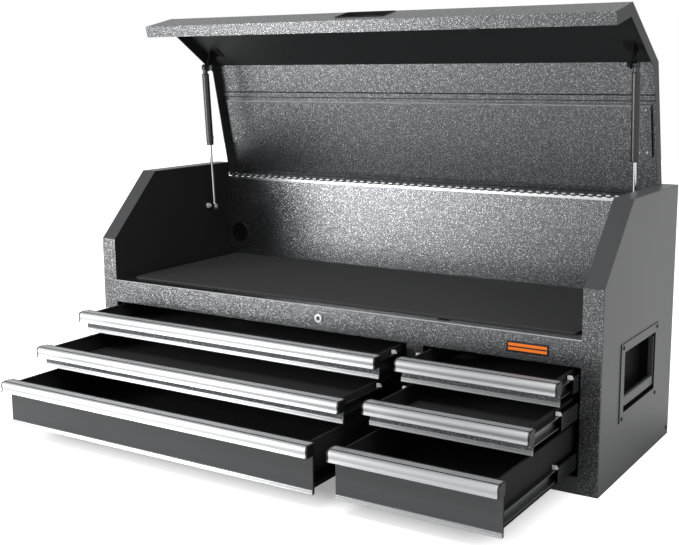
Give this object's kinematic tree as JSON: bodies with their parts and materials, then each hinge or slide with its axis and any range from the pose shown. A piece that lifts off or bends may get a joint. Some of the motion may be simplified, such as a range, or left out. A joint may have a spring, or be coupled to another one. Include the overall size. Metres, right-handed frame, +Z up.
{
  "type": "tool chest",
  "caption": "Wide top tool chest with a slanted front, a lift-up lid on a piano hinge and gas struts, a matted till and ball-bearing drawers with full-width pulls.",
  "frame": {"origin": "centre of the base at floor level", "axes": "+X along the chest to its right end, -Y out of the drawer front, +Z up"},
  "size_m": [1.044, 0.699, 0.7675],
  "materials": {
    "hammered_grey": "grey powder coat with a bright vein",
    "smooth_grey": "satin",
    "pull_aluminium": "satin anodised",
    "zinc_steel": "bright zinc",
    "chrome_rod": "polished",
    "black_steel": "semi-gloss black",
    "black_plastic": "matt",
    "foam_rubber": "fine grained"
  },
  "bodies": {
    "cabinet": {"left_side_panel": "smooth_grey", "right_side_panel": "smooth_grey", "inner_walls": "hammered_grey", "back_panel": "hammered_grey", "bottom_panel": "hammered_grey", "centre_divider": "hammered_grey", "front_fascia": "hammered_grey", "till_floor": "hammered_grey", "till_mat": "foam_rubber", "outer_rails": "zinc_steel", "hinge_body_leaf": "zinc_steel", "hinge_pin": "zinc_steel", "strut_studs": "zinc_steel", "handle_cups": "smooth_grey", "lock_barrel": "zinc_steel", "cable_grommet": "black_plastic"},
    "lid": {"lid_shell": "hammered_grey", "lid_stiffener": "hammered_grey", "lid_grip": "black_plastic", "lid_brackets": "zinc_steel", "hinge_lid_leaf": "zinc_steel"},
    "lock": {"lock_plug": "zinc_steel"},
    "left_handle": {"left_handle_bail": "smooth_grey"},
    "right_handle": {"right_handle_bail": "smooth_grey"},
    "left_strut_rod": {"left_strut_rod": "chrome_rod"},
    "left_strut_tube": {"left_strut_tube": "black_steel"},
    "right_strut_rod": {"right_strut_rod": "chrome_rod"},
    "right_strut_tube": {"right_strut_tube": "black_steel"},
    "left_top_drawer": {"left_top_tray": "hammered_grey", "left_top_pull": "pull_aluminium", "left_top_liner": "foam_rubber", "left_top_inner_rails": "zinc_steel"},
    "left_top_mid": {"left_top_mid_rails": "zinc_steel"},
    "left_middle_drawer": {"left_middle_tray": "hammered_grey", "left_middle_pull": "pull_aluminium", "left_middle_liner": "foam_rubber", "left_middle_inner_rails": "zinc_steel"},
    "left_middle_mid": {"left_middle_mid_rails": "zinc_steel"},
    "left_bottom_drawer": {"left_bottom_tray": "smooth_grey", "left_bottom_pull": "pull_aluminium", "left_bottom_liner": "foam_rubber", "left_bottom_inner_rails": "zinc_steel"},
    "left_bottom_mid": {"left_bottom_mid_rails": "zinc_steel"},
    "right_top_drawer": {"right_top_tray": "hammered_grey", "right_top_pull": "pull_aluminium", "right_top_liner": "foam_rubber", "right_top_inner_rails": "zinc_steel"},
    "right_top_mid": {"right_top_mid_rails": "zinc_steel"},
    "right_middle_drawer": {"right_middle_tray": "hammered_grey", "right_middle_pull": "pull_aluminium", "right_middle_liner": "foam_rubber", "right_middle_inner_rails": "zinc_steel"},
    "right_middle_mid": {"right_middle_mid_rails": "zinc_steel"},
    "right_bottom_drawer": {"right_bottom_tray": "smooth_grey", "right_bottom_pull": "pull_aluminium", "right_bottom_liner": "foam_rubber", "right_bottom_inner_rails": "zinc_steel"},
    "right_bottom_mid": {"right_bottom_mid_rails": "zinc_steel"}
  },
  "joints": [
    {"name": "lid_hinge", "type": "hinge", "parent": "cabinet", "child": "lid", "pos_m": [0, 0.18125, 0.431], "axis": [1, 0, 0], "range_deg": [0, 77.2]},
    {"name": "lock_turn", "type": "hinge", "parent": "cabinet", "child": "lock", "pos_m": [0, -0.186, 0.228], "axis": [0, -1, 0], "range_deg": [0, 90]},
    {"name": "left_handle_swing", "type": "hinge", "parent": "cabinet", "child": "left_handle", "pos_m": [-0.5158, 0, 0.2005], "axis": [0, 1, 0], "range_deg": [0, 90]},
    {"name": "right_handle_swing", "type": "hinge", "parent": "cabinet", "child": "right_handle", "pos_m": [0.5158, 0, 0.2005], "axis": [0, -1, 0], "range_deg": [0, 90]},
    {"name": "left_strut_foot", "type": "hinge", "parent": "cabinet", "child": "left_strut_rod", "pos_m": [-0.468, 0.108, 0.368], "axis": [1, 0, 0], "range_deg": [0, 78.4]},
    {"name": "left_strut_slide", "type": "slide", "parent": "left_strut_rod", "child": "left_strut_tube", "axis": [0, 0.0664, -0.9978], "range_m": [0, 0.1205]},
    {"name": "right_strut_foot", "type": "hinge", "parent": "cabinet", "child": "right_strut_rod", "pos_m": [0.468, 0.108, 0.368], "axis": [1, 0, 0], "range_deg": [0, 78.4]},
    {"name": "right_strut_slide", "type": "slide", "parent": "right_strut_rod", "child": "right_strut_tube", "axis": [0, 0.0664, -0.9978], "range_m": [0, 0.1205]},
    {"name": "left_top_drawer_slide", "type": "slide", "parent": "cabinet", "child": "left_top_drawer", "axis": [0, -1, 0], "range_m": [-0.087, 0.253]},
    {"name": "left_top_mid_slide", "type": "slide", "parent": "cabinet", "child": "left_top_mid", "axis": [0, -1, 0], "range_m": [-0.03915, 0.11385]},
    {"name": "left_middle_drawer_slide", "type": "slide", "parent": "cabinet", "child": "left_middle_drawer", "axis": [0, -1, 0], "range_m": [-0.197, 0.143]},
    {"name": "left_middle_mid_slide", "type": "slide", "parent": "cabinet", "child": "left_middle_mid", "axis": [0, -1, 0], "range_m": [-0.08865, 0.06435]},
    {"name": "left_bottom_drawer_slide", "type": "slide", "parent": "cabinet", "child": "left_bottom_drawer", "axis": [0, -1, 0], "range_m": [-0.284, 0.056]},
    {"name": "left_bottom_mid_slide", "type": "slide", "parent": "cabinet", "child": "left_bottom_mid", "axis": [0, -1, 0], "range_m": [-0.09088, 0.01792]},
    {"name": "right_top_drawer_slide", "type": "slide", "parent": "cabinet", "child": "right_top_drawer", "axis": [0, -1, 0], "range_m": [-0.078, 0.262]},
    {"name": "right_top_mid_slide", "type": "slide", "parent": "cabinet", "child": "right_top_mid", "axis": [0, -1, 0], "range_m": [-0.0351, 0.1179]},
    {"name": "right_middle_drawer_slide", "type": "slide", "parent": "cabinet", "child": "right_middle_drawer", "axis": [0, -1, 0], "range_m": [-0.178, 0.162]},
    {"name": "right_middle_mid_slide", "type": "slide", "parent": "cabinet", "child": "right_middle_mid", "axis": [0, -1, 0], "range_m": [-0.0801, 0.0729]},
    {"name": "right_bottom_drawer_slide", "type": "slide", "parent": "cabinet", "child": "right_bottom_drawer", "axis": [0, -1, 0], "range_m": [-0.278, 0.062]},
    {"name": "right_bottom_mid_slide", "type": "slide", "parent": "cabinet", "child": "right_bottom_mid", "axis": [0, -1, 0], "range_m": [-0.08896, 0.01984]}
  ],
  "couplings": [
    {"joint": "left_strut_foot", "follows": "lid_hinge", "ratio": 1.0148},
    {"joint": "left_strut_slide", "follows": "lid_hinge", "m_per_rad": 0.089405},
    {"joint": "right_strut_foot", "follows": "lid_hinge", "ratio": 1.0148},
    {"joint": "right_strut_slide", "follows": "lid_hinge", "m_per_rad": 0.089405},
    {"joint": "left_top_mid_slide", "follows": "left_top_drawer_slide", "ratio": 0.45},
    {"joint": "left_middle_mid_slide", "follows": "left_middle_drawer_slide", "ratio": 0.45},
    {"joint": "left_bottom_mid_slide", "follows": "left_bottom_drawer_slide", "ratio": 0.32},
    {"joint": "right_top_mid_slide", "follows": "right_top_drawer_slide", "ratio": 0.45},
    {"joint": "right_middle_mid_slide", "follows": "right_middle_drawer_slide", "ratio": 0.45},
    {"joint": "right_bottom_mid_slide", "follows": "right_bottom_drawer_slide", "ratio": 0.32}
  ]
}
